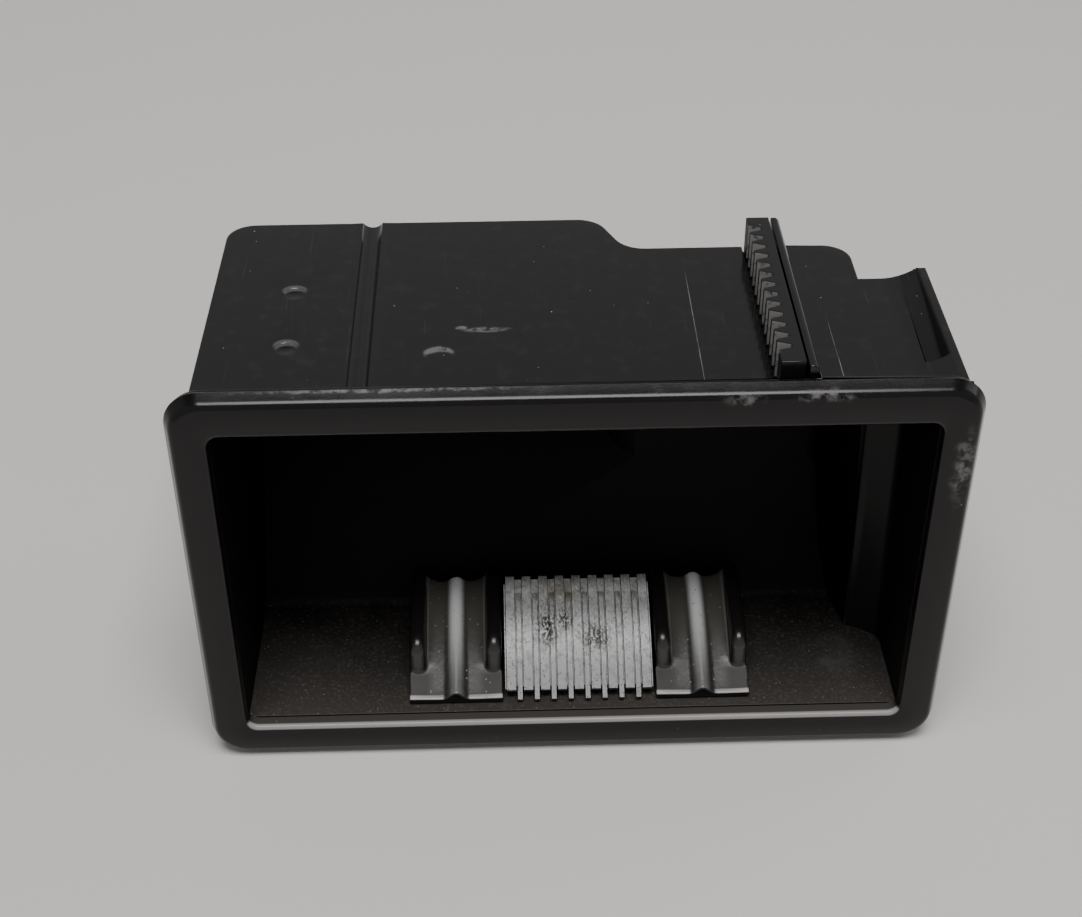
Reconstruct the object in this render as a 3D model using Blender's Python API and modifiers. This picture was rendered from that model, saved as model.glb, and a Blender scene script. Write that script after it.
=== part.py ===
"""Pull-out ash receiver for a car dashboard or console.

Metres, +Z up. The receiver lies on its long lower wall, its opening faces -Y, and the origin is at the
middle of the bounding box's bottom. Each separate piece of the real object is one named object.
"""

import math

import bmesh
import bpy
from mathutils import Matrix

# --- Front frame -------------------------------------------------------------------------------------
BEZEL_WIDTH = 0.1300
BEZEL_HEIGHT = 0.0778
BEZEL_THICKNESS = 0.0028
BEZEL_CORNER = 0.0060
BEZEL_EDGE_ROUND = 0.0012
SIDE_BAND = 0.0066
BOTTOM_BAND = 0.0068
TOP_BAND = 0.0074
OPENING_CORNER = 0.0022

# --- Tub ---------------------------------------------------------------------------------------------
FLANGE_THICKNESS = 0.0011
FLANGE_INSET = 0.0005
SIDE_WALL = 0.0034
TOP_WALL = 0.0033
FLOOR_WALL = 0.0024
BACK_WALL = 0.0025
STEP_WALL = 0.0020
DEEP_DEPTH = 0.0629
MIDDLE_DEPTH = 0.0519
SHELF_DEPTH = 0.0400
STEP_FROM_RIGHT = 0.0588
STEP_RUN = 0.0048
SHALLOW_WIDTH = 0.0108
SIDE_DRAFT = 0.0005
STEP_SPREAD = 0.0082
FLOOR_DEPTH = 0.0330
SHALLOW_LEFT_DEPTH = 0.0238
SHALLOW_RIGHT_DEPTH = 0.0202
SHALLOW_FACE = 0.0050
SLOPE_ANGLE = math.radians(53.0)
SHALLOW_LEAN = math.radians(5.0)
PLAN_CORNER = 0.0050
STEP_ROUND = 0.0055
CREASE_ROUND = 0.0025
SLOPE_ROUND = 0.0120

# --- Details moulded into the tub ----------------------------------------------------------------------
GROOVE_FROM_LEFT = 0.0269
GROOVE_WIDTH = 0.0036
GROOVE_DEPTH = 0.0010
RAIL_HEIGHT = 0.0020
RAIL_WIDTH = 0.0016
RAIL_CURVE = 0.0062
STOP_SLOT_WIDTH = 0.0034
STOP_SLOT_START = 0.0128
STOP_SLOT_DEPTH = 0.0020
PIN_MARK_RADIUS = 0.0021
PIN_MARK_DEPTH = 0.0003
PIN_MARK_FROM_LEFT = 0.0145
PIN_MARK_FIRST = 0.0210
PIN_MARK_SPACING = 0.0174

# --- Rack and its backing rib --------------------------------------------------------------------------
RACK_MODULE = 0.0010
RACK_GAPS = 13
RACK_HEIGHT = 0.0060
RACK_WIDTH = 0.0040
RACK_CENTRE_X = 0.0343
RACK_FIRST_GAP = 0.0098
RACK_FRONT_CLEARANCE = 0.0010
RACK_SEAT_DEPTH = 0.0010
RIB_SLOT = 0.0003
RIB_WIDTH = 0.0015
RIB_FOOT = 0.0016

# --- Cigarette rests and snuffer -----------------------------------------------------------------------
UNIT_CENTRE_X = 0.0012
REST_SPACING = 0.0446
REST_CHANNEL = 0.0112
FINGER_WIDTH = 0.0027
FINGER_FRONT = 0.0096
FINGER_REAR = 0.0312
FINGER_NOSE_HEIGHT = 0.0098
FINGER_NOSE_SHOULDER = 0.0071
FINGER_NOSE_ROUND = 0.0039
FINGER_FOOT_ROUND = 0.0017
FINGER_TOP_ROUND = 0.0060
FINGER_REAR_HEIGHT = 0.0112
FINGER_REAR_ROUND = 0.0012
REST_FRONT = 0.0050
REST_REAR = 0.0290
REST_FRONT_HEIGHT = 0.0013
REST_REAR_HEIGHT = 0.0088
REST_HOLLOW = 0.0018
REST_SWEEP = 1.15
REST_ROWS = 6
BEAD_WIDTH = 0.0034
BEAD_HEIGHT = 0.0013
PAD_MARGIN = 0.0002
PAD_STEP = 0.0002

COMB_RIBS = 9
COMB_RIB_WIDTH = 0.00135
COMB_FOLD_RUN = 0.0001
COMB_VALLEY = 0.0006
COMB_SHEET = 0.0004
COMB_FRONT = 0.0050
COMB_CREST = 0.0255
COMB_CREST_HEIGHT = 0.0126
COMB_ARCH = 0.0012
COMB_SIDE_FALL = 0.0022
COMB_SIDE_SPREAD = 0.0003
COMB_ROWS = 8

# --- Fits ----------------------------------------------------------------------------------------------
SEAM_GAP = 0.0003
SEAT_GAP = 0.0003
PAST = 0.0020
ARC_STEPS = 8

# --- Places worked out from the sizes -------------------------------------------------------------------
HALF_WIDTH = BEZEL_WIDTH / 2
OPENING_HALF = HALF_WIDTH - SIDE_BAND
FLOOR_TOP = BOTTOM_BAND
CEILING = BEZEL_HEIGHT - TOP_BAND
TUB_TOP = CEILING + TOP_WALL
TUB_BOTTOM = FLOOR_TOP - FLOOR_WALL
TUB_HALF = OPENING_HALF + SIDE_WALL
FLANGE_FRONT = BEZEL_THICKNESS + SEAM_GAP
FLANGE_BACK = FLANGE_FRONT + FLANGE_THICKNESS
STEP_TOP_X = TUB_HALF - SHALLOW_WIDTH
STEP_X = HALF_WIDTH - STEP_FROM_RIGHT
RACK_PITCH = math.pi * RACK_MODULE
COMB_SPACE = REST_SPACING - REST_CHANNEL - 2 * FINGER_WIDTH - 2 * PAD_MARGIN
COMB_HALF = COMB_SPACE / 2 - SEAT_GAP - COMB_SIDE_SPREAD - COMB_SHEET / 2
COMB_PITCH = (2 * COMB_HALF - COMB_RIB_WIDTH) / (COMB_RIBS - 1)
REST_CENTRES = {
    "rest_left": UNIT_CENTRE_X - REST_SPACING / 2,
    "rest_right": UNIT_CENTRE_X + REST_SPACING / 2,
}


def clear_scene():
    """Remove every object, so that the script starts from nothing."""
    for item in list(bpy.data.objects):
        bpy.data.objects.remove(item, do_unlink=True)


def reference_point():
    """Empty at the middle of the front frame's foot; everything is parented to it."""
    empty = bpy.data.objects.new("front_foot", None)
    empty.location = (0.0, -DEEP_DEPTH / 2, 0.0)
    bpy.context.scene.collection.objects.link(empty)
    return empty


def new_collection(name):
    """Make a collection in the scene."""
    collection = bpy.data.collections.new(name)
    bpy.context.scene.collection.children.link(collection)
    return collection


def plain_material(name, colour, roughness, metallic):
    """Principled material with one colour."""
    material = bpy.data.materials.new(name)
    material.use_nodes = True
    shader = material.node_tree.nodes["Principled BSDF"]
    shader.inputs["Base Color"].default_value = (*colour, 1.0)
    shader.inputs["Roughness"].default_value = roughness
    shader.inputs["Metallic"].default_value = metallic
    return material


def rounded(points, steps=ARC_STEPS):
    """Turn (x, y, radius) corners into an outline whose corners are arcs."""
    outline = []
    count = len(points)
    for index, (x, y, radius) in enumerate(points):
        if radius <= 0.0:
            outline.append((x, y))
            continue
        before = points[index - 1]
        after = points[(index + 1) % count]
        in_x, in_y = before[0] - x, before[1] - y
        out_x, out_y = after[0] - x, after[1] - y
        in_length = math.hypot(in_x, in_y)
        out_length = math.hypot(out_x, out_y)
        in_x, in_y = in_x / in_length, in_y / in_length
        out_x, out_y = out_x / out_length, out_y / out_length
        half_angle = math.acos(max(-1.0, min(1.0, in_x * out_x + in_y * out_y))) / 2
        reach = min(radius / math.tan(half_angle), 0.48 * in_length, 0.48 * out_length)
        radius = reach * math.tan(half_angle)
        to_centre = radius / math.sin(half_angle)
        mid_x, mid_y = in_x + out_x, in_y + out_y
        mid_length = math.hypot(mid_x, mid_y)
        centre_x = x + mid_x / mid_length * to_centre
        centre_y = y + mid_y / mid_length * to_centre
        start = math.atan2(y + in_y * reach - centre_y, x + in_x * reach - centre_x)
        end = math.atan2(y + out_y * reach - centre_y, x + out_x * reach - centre_x)
        sweep = (end - start + math.pi) % (2 * math.pi) - math.pi
        for step in range(steps + 1):
            angle = start + sweep * step / steps
            outline.append((centre_x + radius * math.cos(angle), centre_y + radius * math.sin(angle)))
    return outline


def inset(points, walls):
    """Move each side of a counter-clockwise outline inwards by its own wall; side i starts at point i."""
    count = len(points)
    sides = []
    for index, (x, y, _) in enumerate(points):
        after = points[(index + 1) % count]
        along_x, along_y = after[0] - x, after[1] - y
        length = math.hypot(along_x, along_y)
        normal_x, normal_y = -along_y / length, along_x / length
        sides.append((normal_x, normal_y, normal_x * x + normal_y * y + walls[index]))
    result = []
    for index, (_, _, radius) in enumerate(points):
        a1, b1, c1 = sides[index - 1]
        a2, b2, c2 = sides[index]
        scale = a1 * b2 - a2 * b1
        result.append(((c1 * b2 - c2 * b1) / scale, (a1 * c2 - a2 * c1) / scale, radius))
    return result


AXES = {
    "z": Matrix(((1, 0, 0, 0), (0, 1, 0, 0), (0, 0, 1, 0), (0, 0, 0, 1))),
    "x": Matrix(((0, 0, 1, 0), (1, 0, 0, 0), (0, 1, 0, 0), (0, 0, 0, 1))),
    "y": Matrix(((1, 0, 0, 0), (0, 0, -1, 0), (0, 1, 0, 0), (0, 0, 0, 1))),
}


def prism(name, outline, axis, low, high, collection):
    """Extrude a filled outline along an axis: XY outlines along z, YZ along x, XZ along y."""
    curve = bpy.data.curves.new(name, "CURVE")
    curve.dimensions = "2D"
    curve.fill_mode = "BOTH"
    curve.extrude = (high - low) / 2
    spline = curve.splines.new("POLY")
    spline.points.add(len(outline) - 1)
    for point, (x, y) in zip(spline.points, outline):
        point.co = (x, y, 0.0, 1.0)
    spline.use_cyclic_u = True
    holder = bpy.data.objects.new(name + "_outline", curve)
    bpy.context.scene.collection.objects.link(holder)
    bpy.context.view_layer.update()
    graph = bpy.context.evaluated_depsgraph_get()
    mesh = bpy.data.meshes.new_from_object(holder.evaluated_get(graph))
    bpy.data.objects.remove(holder, do_unlink=True)
    bpy.data.curves.remove(curve)
    middle = (low + high) / 2
    if axis == "y":
        middle = -middle
    mesh.transform(AXES[axis] @ Matrix.Translation((0.0, 0.0, middle)))
    work = bmesh.new()
    work.from_mesh(mesh)
    bmesh.ops.remove_doubles(work, verts=work.verts, dist=1e-6)
    bmesh.ops.recalc_face_normals(work, faces=work.faces)
    work.to_mesh(mesh)
    work.free()
    mesh.name = name
    solid = bpy.data.objects.new(name, mesh)
    collection.objects.link(solid)
    return solid


def lean_back(solid):
    """Lean the back of an upright prism away from the opening, by moving its highest corners."""
    floor = min(vertex.co.z for vertex in solid.data.vertices)
    for vertex in solid.data.vertices:
        if vertex.co.y > SHALLOW_RIGHT_DEPTH / 2:
            vertex.co.y += (vertex.co.z - floor) * math.tan(SHALLOW_LEAN)


def tool(solid):
    """Mark a solid as one that only shapes another."""
    solid.hide_render = True
    solid.display_type = "WIRE"
    return solid


def combine(target, other, operation):
    """Join, cut or intersect the target with another solid."""
    modifier = target.modifiers.new(operation.title() + " " + other.name, "BOOLEAN")
    modifier.operation = operation
    modifier.solver = "EXACT"
    modifier.object = tool(other)


def finish(solid, material, smooth_angle=math.radians(32.0)):
    """Give a piece its material and its shading."""
    solid.data.materials.clear()
    solid.data.materials.append(material)
    solid.data.shade_smooth()
    solid.data.set_sharp_from_angle(angle=smooth_angle)


def frame_outline(inset_by, corner):
    """Rounded rectangle of the front frame, moved in by a distance."""
    left, right = -HALF_WIDTH + inset_by, HALF_WIDTH - inset_by
    low, high = inset_by, BEZEL_HEIGHT - inset_by
    return rounded([(left, low, corner), (right, low, corner), (right, high, corner), (left, high, corner)])


def opening_outline():
    """Rounded rectangle of the opening through the front frame."""
    corners = [(-OPENING_HALF, FLOOR_TOP), (OPENING_HALF, FLOOR_TOP)]
    corners += [(OPENING_HALF, CEILING), (-OPENING_HALF, CEILING)]
    return rounded([(x, z, OPENING_CORNER) for x, z in corners])


def make_bezel(parts, tools, material):
    """Front frame: a flat ring with its front edges rounded."""
    bezel = prism("bezel_frame", frame_outline(0.0, BEZEL_CORNER), "y", 0.0, BEZEL_THICKNESS, parts)
    hole = prism("bezel_hole", opening_outline(), "y", -PAST, BEZEL_THICKNESS + PAST, tools)
    combine(bezel, hole, "DIFFERENCE")
    edge = bezel.modifiers.new("Rounded edges", "BEVEL")
    edge.width = BEZEL_EDGE_ROUND
    edge.segments = 3
    edge.limit_method = "ANGLE"
    edge.angle_limit = math.radians(60.0)
    finish(bezel, material)
    return bezel


def plan_points():
    """Corners of the deep and middle parts of the tub, seen from above."""
    front = FLANGE_FRONT
    left_rear = -TUB_HALF + SIDE_DRAFT
    return [
        (-TUB_HALF, front, 0.0),
        (STEP_TOP_X + STEP_SPREAD, front, 0.0),
        (STEP_TOP_X, SHELF_DEPTH, 0.0),
        (STEP_TOP_X, MIDDLE_DEPTH, PLAN_CORNER),
        (STEP_X + STEP_RUN, MIDDLE_DEPTH, STEP_ROUND),
        (STEP_X, DEEP_DEPTH, STEP_ROUND),
        (left_rear, DEEP_DEPTH, PLAN_CORNER),
    ]


def side_points():
    """Corners of the deep part seen from the side: floor, sloping back and upright back."""
    front = FLANGE_FRONT
    foot = FLOOR_DEPTH + BACK_WALL / math.sin(SLOPE_ANGLE) - FLOOR_WALL / math.tan(SLOPE_ANGLE)
    knee = TUB_BOTTOM + (DEEP_DEPTH - foot) * math.tan(SLOPE_ANGLE)
    return [
        (front, TUB_BOTTOM, 0.0),
        (foot, TUB_BOTTOM, CREASE_ROUND + BACK_WALL),
        (DEEP_DEPTH, knee, SLOPE_ROUND + BACK_WALL),
        (DEEP_DEPTH, TUB_TOP, 0.0),
        (front, TUB_TOP, 0.0),
    ]


def shallow_points(wall):
    """Corners of the shallow part seen from above at the floor, a wall's thickness outside its room."""
    left = STEP_TOP_X - STEP_WALL - 2 * PAST
    turn = OPENING_HALF - SHALLOW_FACE
    front = FLANGE_FRONT if wall > 0.0 else -PAST
    right = OPENING_HALF + min(wall, SIDE_WALL)
    return [
        (left, front, 0.0),
        (right, front, 0.0),
        (right, SHALLOW_RIGHT_DEPTH + wall, CREASE_ROUND),
        (turn, SHALLOW_LEFT_DEPTH + wall, CREASE_ROUND),
        (left, SHALLOW_LEFT_DEPTH + wall, 0.0),
    ]


def make_cavity(tools):
    """The room inside the tub, each side one wall in from the outside."""
    room = PAST + FLANGE_FRONT
    walls = [-room, STEP_WALL, STEP_WALL, BACK_WALL, BACK_WALL, BACK_WALL, SIDE_WALL]
    plan = inset(plan_points(), walls)
    side = inset(side_points(), [FLOOR_WALL, BACK_WALL, BACK_WALL, TOP_WALL, -room])
    plan = [(x, y, max(radius - BACK_WALL, 0.0)) for x, y, radius in plan]
    plan[4] = (plan[4][0], plan[4][1], STEP_ROUND + BACK_WALL)
    side = [(y, z, max(radius - BACK_WALL, 0.0)) for y, z, radius in side]
    cavity = prism("cavity", rounded(plan), "z", FLOOR_TOP, CEILING, tools)
    combine(cavity, prism("cavity_side", rounded(side), "x", -HALF_WIDTH, HALF_WIDTH, tools), "INTERSECT")
    pocket = prism("shallow_cavity", rounded(shallow_points(0.0)), "z", FLOOR_TOP, CEILING, tools)
    lean_back(pocket)
    combine(cavity, pocket, "UNION")
    return cavity


def rail_points():
    """Section of the shelf and its rail: flat top, hollow curve up to the rail, upright outer side."""
    low, high = TUB_TOP, TUB_TOP + RAIL_HEIGHT
    outer = TUB_HALF + RAIL_WIDTH / 2
    inner = outer - RAIL_WIDTH
    points = [(STEP_TOP_X - 2 * PAST, CEILING), (outer, CEILING), (outer, high), (inner, high)]
    for step in range(1, ARC_STEPS + 1):
        share = step / ARC_STEPS
        points.append((inner - RAIL_CURVE * share, low + RAIL_HEIGHT * (1.0 - share) ** 2))
    points.append((STEP_TOP_X - 2 * PAST, low))
    return points


def rib_points():
    """Section of the rib behind the rack: straight towards the rack, spreading at its foot."""
    left = RACK_CENTRE_X + RACK_WIDTH / 2 + RIB_SLOT
    right = left + RIB_WIDTH
    top = TUB_TOP + RACK_HEIGHT
    foot = TUB_TOP - TOP_WALL / 2
    chamfer = RIB_WIDTH / 3
    return [
        (left, foot),
        (right + RIB_FOOT, foot),
        (right + RIB_FOOT, TUB_TOP),
        (right, top - chamfer),
        (right - chamfer, top),
        (left, top),
    ]


def rack_end():
    """Rear end of the rack, flush with the edge of the top plate."""
    return MIDDLE_DEPTH - SEAT_GAP


def make_tub(parts, tools, material):
    """Moulded receiver: flange, walls, stepped top plate, shelf with rail, rib and its small details."""
    tub = prism("tub", rounded(plan_points()), "z", TUB_BOTTOM, TUB_TOP, parts)
    side = prism("tub_side", rounded(side_points()), "x", -HALF_WIDTH, HALF_WIDTH, tools)
    combine(tub, side, "INTERSECT")
    shallow = prism("tub_shallow", rounded(shallow_points(BACK_WALL)), "z", TUB_BOTTOM, TUB_TOP, tools)
    lean_back(shallow)
    combine(tub, shallow, "UNION")
    shelf = prism("tub_shelf", rail_points(), "y", FLANGE_FRONT, SHELF_DEPTH, tools)
    combine(tub, shelf, "UNION")
    flange_outline = frame_outline(FLANGE_INSET, BEZEL_CORNER - FLANGE_INSET)
    flange = prism("tub_flange", flange_outline, "y", FLANGE_FRONT, FLANGE_BACK, tools)
    combine(tub, flange, "UNION")
    rib = prism("tub_rib", rib_points(), "y", FLANGE_BACK - SEAT_GAP, rack_end(), tools)
    combine(tub, rib, "UNION")
    combine(tub, make_cavity(tools), "DIFFERENCE")
    mouth = prism("tub_mouth", opening_outline(), "y", -PAST, FLANGE_BACK, tools)
    combine(tub, mouth, "DIFFERENCE")
    combine(tub, make_groove(tools), "DIFFERENCE")
    combine(tub, make_stop_slot(tools), "DIFFERENCE")
    combine(tub, make_rack_seat(tools), "DIFFERENCE")
    for index in range(2):
        combine(tub, make_pin_mark(index, tools), "DIFFERENCE")
    finish(tub, material)
    return tub


def make_groove(tools):
    """Shallow round-bottomed groove along the top, open at the rear edge."""
    centre = -HALF_WIDTH + SIDE_BAND - SIDE_WALL + GROOVE_FROM_LEFT
    radius = (GROOVE_WIDTH ** 2 / 4 + GROOVE_DEPTH ** 2) / (2 * GROOVE_DEPTH)
    middle = TUB_TOP - GROOVE_DEPTH + radius
    outline = []
    steps = 4 * ARC_STEPS
    for step in range(steps):
        angle = 2 * math.pi * step / steps
        outline.append((centre + radius * math.sin(angle), middle - radius * math.cos(angle)))
    return prism("groove", outline, "y", FLANGE_BACK + SEAT_GAP, DEEP_DEPTH + PAST, tools)


def make_stop_slot(tools):
    """Ramp beside the rail that runs down towards the front and ends at a square stop."""
    right = TUB_HALF - RAIL_WIDTH / 2 - RIB_SLOT / 2
    high = TUB_TOP + RAIL_HEIGHT + PAST
    outline = [
        (STOP_SLOT_START, TUB_TOP - STOP_SLOT_DEPTH),
        (SHELF_DEPTH + PAST, TUB_TOP + RAIL_HEIGHT),
        (SHELF_DEPTH + PAST, high),
        (STOP_SLOT_START, high),
    ]
    return prism("stop_slot", outline, "x", right - STOP_SLOT_WIDTH, right, tools)


def make_rack_seat(tools):
    """Shallow seat that takes the foot of the rack."""
    half = RACK_WIDTH / 2 + SEAT_GAP
    front = FLANGE_BACK + RACK_FRONT_CLEARANCE - SEAT_GAP
    outline = [
        (RACK_CENTRE_X - half, front),
        (RACK_CENTRE_X + half, front),
        (RACK_CENTRE_X + half, MIDDLE_DEPTH + PAST),
        (RACK_CENTRE_X - half, MIDDLE_DEPTH + PAST),
    ]
    return prism("rack_seat", outline, "z", TUB_TOP - RACK_SEAT_DEPTH, TUB_TOP + PAST, tools)


def make_pin_mark(index, tools):
    """Shallow round mark that a mould's ejector pin leaves."""
    x = -TUB_HALF + PIN_MARK_FROM_LEFT
    y = PIN_MARK_FIRST + index * PIN_MARK_SPACING
    steps = 3 * ARC_STEPS
    outline = []
    for step in range(steps):
        angle = 2 * math.pi * step / steps
        outline.append((x + PIN_MARK_RADIUS * math.cos(angle), y + PIN_MARK_RADIUS * math.sin(angle)))
    return prism("pin_mark_%d" % index, outline, "z", TUB_TOP - PIN_MARK_DEPTH, TUB_TOP + PAST, tools)


def rack_outline():
    """Rack seen from above: straight back, teeth of one module towards -X, plain front length."""
    back = RACK_CENTRE_X + RACK_WIDTH / 2
    tip = RACK_CENTRE_X - RACK_WIDTH / 2
    root = tip + 2.25 * RACK_MODULE
    flank = math.tan(math.radians(20.0))
    root_half = RACK_PITCH / 4 - 1.25 * RACK_MODULE * flank
    tip_half = RACK_PITCH / 4 + RACK_MODULE * flank
    front = FLANGE_BACK + RACK_FRONT_CLEARANCE
    outline = [(back, front), (back, rack_end()), (tip, rack_end())]
    gaps = [RACK_FIRST_GAP + index * RACK_PITCH for index in range(RACK_GAPS)]
    gaps = [y for y in gaps if y + tip_half < rack_end() - SEAT_GAP]
    for y in reversed(gaps):
        outline += [(tip, y + tip_half), (root, y + root_half), (root, y - root_half), (tip, y - tip_half)]
    outline.append((tip, front))
    return outline


def make_rack(parts, material):
    """Toothed bar that a damper pinion runs along."""
    low = TUB_TOP - RACK_SEAT_DEPTH + SEAT_GAP
    rack = prism("damper_rack", rack_outline(), "z", low, TUB_TOP + RACK_HEIGHT, parts)
    finish(rack, material)
    return rack


def saddle_points(height, concave):
    """Half of a section across a rest, from its middle to the finger, as (x, z) above the floor."""
    half = REST_CHANNEL / 2 + SEAT_GAP
    points = []
    for step in range(ARC_STEPS + 1):
        angle = math.pi / 2 * step / ARC_STEPS
        points.append((BEAD_WIDTH / 2 * math.sin(angle), height + BEAD_HEIGHT * math.cos(angle)))
    for step in range(1, 4):
        share = step / 3
        x = BEAD_WIDTH / 2 + (half - BEAD_WIDTH / 2) * share
        points.append((x, height + concave * share ** 2))
    return points


def make_saddle(name, centre, collection):
    """Ramp between the fingers with a round bead along its middle."""
    low = FLOOR_TOP + SEAT_GAP
    work = bmesh.new()
    rings = []
    for row in range(REST_ROWS + 1):
        share = row / REST_ROWS
        y = REST_FRONT + (REST_REAR - REST_FRONT) * share
        rise = (REST_REAR_HEIGHT - REST_FRONT_HEIGHT) * math.sin(share * math.pi / 2) ** REST_SWEEP
        half = saddle_points(REST_FRONT_HEIGHT + rise, REST_HOLLOW * share)
        section = [(-x, z) for x, z in reversed(half[1:])] + half
        edge = half[-1][0]
        section = [(-edge, 0.0)] + section + [(edge, 0.0)]
        rings.append([work.verts.new((centre + x, y, low + z)) for x, z in section])
    for front, rear in zip(rings, rings[1:]):
        count = len(front)
        for index in range(count):
            after = (index + 1) % count
            work.faces.new((front[index], front[after], rear[after], rear[index]))
    work.faces.new(list(reversed(rings[0])))
    work.faces.new(rings[-1])
    bmesh.ops.recalc_face_normals(work, faces=work.faces)
    mesh = bpy.data.meshes.new(name)
    work.to_mesh(mesh)
    work.free()
    solid = bpy.data.objects.new(name, mesh)
    collection.objects.link(solid)
    return solid


def finger_points():
    """Finger seen from the side: rounded nose at the front, top rising slightly to the rear."""
    low = FLOOR_TOP + SEAT_GAP
    return [
        (FINGER_FRONT, low, FINGER_FOOT_ROUND),
        (FINGER_REAR, low, 0.0),
        (FINGER_REAR, low + FINGER_REAR_HEIGHT, FINGER_REAR_ROUND),
        (FINGER_FRONT + FINGER_NOSE_HEIGHT / 2, low + FINGER_NOSE_HEIGHT, FINGER_TOP_ROUND),
        (FINGER_FRONT, low + FINGER_NOSE_SHOULDER, FINGER_NOSE_ROUND),
    ]


def make_rest(name, centre, parts, tools, material):
    """Cigarette rest: saddle, two fingers and the pads that the fingers stand on."""
    rest = make_saddle(name, centre, parts)
    low = FLOOR_TOP + SEAT_GAP
    for side in (-1, 1):
        middle = centre + side * (REST_CHANNEL + FINGER_WIDTH) / 2
        half = FINGER_WIDTH / 2
        reach = half + PAD_MARGIN
        pad_outline = [
            (middle - reach, REST_FRONT + PAD_STEP),
            (middle + reach, REST_FRONT + PAD_STEP),
            (middle + reach, FINGER_REAR - PAD_STEP),
            (middle - reach, FINGER_REAR - PAD_STEP),
        ]
        tag = "%s_%s" % (name, "inner" if side * centre < 0 else "outer")
        pad = prism(tag + "_pad", pad_outline, "z", low, low + REST_FRONT_HEIGHT + PAD_STEP, tools)
        combine(rest, pad, "UNION")
        outline = rounded(finger_points(), ARC_STEPS // 2)
        finger = prism(tag + "_finger", outline, "x", middle - half, middle + half, tools)
        combine(rest, finger, "UNION")
    finish(rest, material)
    return rest


def comb_path():
    """Side view of the comb's ribs: (y, z) up an arched ramp, from the floor to the crest."""
    low = FLOOR_TOP + SEAT_GAP + COMB_SHEET / 2
    start = low + COMB_VALLEY
    top = FLOOR_TOP + COMB_CREST_HEIGHT
    points = []
    for row in range(COMB_ROWS + 1):
        share = row / COMB_ROWS
        y = COMB_FRONT + (COMB_CREST - COMB_FRONT) * share
        z = start + (top - start) * share + COMB_ARCH * math.sin(math.pi * share)
        points.append((y, z))
    return points


def comb_section():
    """Section across the comb: (x, fall below the rib tops), ribs and valleys in turn, then the sides."""
    first = COMB_HALF - COMB_RIB_WIDTH / 2
    valley_edge = COMB_RIB_WIDTH / 2 + COMB_FOLD_RUN
    section = [(-COMB_HALF - COMB_SIDE_SPREAD, COMB_SIDE_FALL)]
    for index in range(COMB_RIBS):
        x = -first + index * COMB_PITCH
        section += [(x - COMB_RIB_WIDTH / 2, 0.0), (x + COMB_RIB_WIDTH / 2, 0.0)]
        if index < COMB_RIBS - 1:
            section += [(x + valley_edge, COMB_VALLEY), (x + COMB_PITCH - valley_edge, COMB_VALLEY)]
    section.append((COMB_HALF + COMB_SIDE_SPREAD, COMB_SIDE_FALL))
    return section


def make_comb(parts, material):
    """Stamped snuffer: one sheet folded into ribs and valleys, thickened to the sheet's gauge."""
    path = comb_path()
    section = comb_section()
    low = FLOOR_TOP + SEAT_GAP + COMB_SHEET / 2
    work = bmesh.new()
    rows = []
    for y, z in path:
        rows.append([work.verts.new((UNIT_CENTRE_X + x, y, max(z - fall, low))) for x, fall in section])
    for lower, upper in zip(rows, rows[1:]):
        for index in range(len(section) - 1):
            work.faces.new((lower[index], lower[index + 1], upper[index + 1], upper[index]))
    mesh = bpy.data.meshes.new("snuffer_comb")
    work.to_mesh(mesh)
    work.free()
    comb = bpy.data.objects.new("snuffer_comb", mesh)
    parts.objects.link(comb)
    sheet = comb.modifiers.new("Sheet", "SOLIDIFY")
    sheet.thickness = COMB_SHEET
    sheet.offset = 0.0
    finish(comb, material, math.radians(50.0))
    return comb


def main():
    clear_scene()
    parts = new_collection("Ash receiver")
    tools = new_collection("Cutters")
    gloss = plain_material("Gloss black plastic", (0.012, 0.010, 0.010), 0.22, 0.0)
    satin = plain_material("Satin black plastic", (0.016, 0.014, 0.014), 0.35, 0.0)
    rest_plastic = plain_material("Rest plastic", (0.020, 0.018, 0.016), 0.28, 0.0)
    steel = plain_material("Stamped steel", (0.52, 0.52, 0.51), 0.38, 1.0)
    make_bezel(parts, tools, satin)
    make_tub(parts, tools, gloss)
    make_rack(parts, gloss)
    for name, centre in REST_CENTRES.items():
        make_rest(name, centre, parts, tools, rest_plastic)
    make_comb(parts, steel)
    foot = reference_point()
    for solid in list(parts.objects) + list(tools.objects):
        solid.parent = foot


main()
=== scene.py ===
# %% [markdown]
# # A pull-out car ash receiver
#
# This lesson dresses a plain model of an ash receiver: the black moulded bin that slides out of a car's
# dashboard. The plain model gives every piece its place and its size. Here each piece gets its fine
# shape and its finish: gloss black plastic with dust and scratches, and a stamped steel snuffer.
#
# We start by loading the plain model, and we note its box at once, because the finished pieces must
# stay inside it.

# %% Load the plain model
import math

import bmesh
import bpy
from mathutils import Matrix, Vector


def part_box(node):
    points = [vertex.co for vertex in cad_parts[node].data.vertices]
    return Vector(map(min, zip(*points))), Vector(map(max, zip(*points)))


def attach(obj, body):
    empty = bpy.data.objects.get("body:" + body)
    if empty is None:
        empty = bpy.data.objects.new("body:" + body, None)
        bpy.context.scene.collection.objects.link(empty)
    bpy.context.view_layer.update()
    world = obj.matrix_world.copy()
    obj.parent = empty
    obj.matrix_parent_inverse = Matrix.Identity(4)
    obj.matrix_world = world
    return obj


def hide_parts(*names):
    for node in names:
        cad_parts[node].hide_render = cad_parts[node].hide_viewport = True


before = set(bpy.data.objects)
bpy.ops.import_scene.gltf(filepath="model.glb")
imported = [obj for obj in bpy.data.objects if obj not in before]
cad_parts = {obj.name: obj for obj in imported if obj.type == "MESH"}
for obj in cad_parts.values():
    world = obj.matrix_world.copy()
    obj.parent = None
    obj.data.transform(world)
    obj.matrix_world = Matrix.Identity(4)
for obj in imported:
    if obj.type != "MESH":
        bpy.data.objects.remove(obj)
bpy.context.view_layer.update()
BODY = "root"
MM = 0.001

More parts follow.
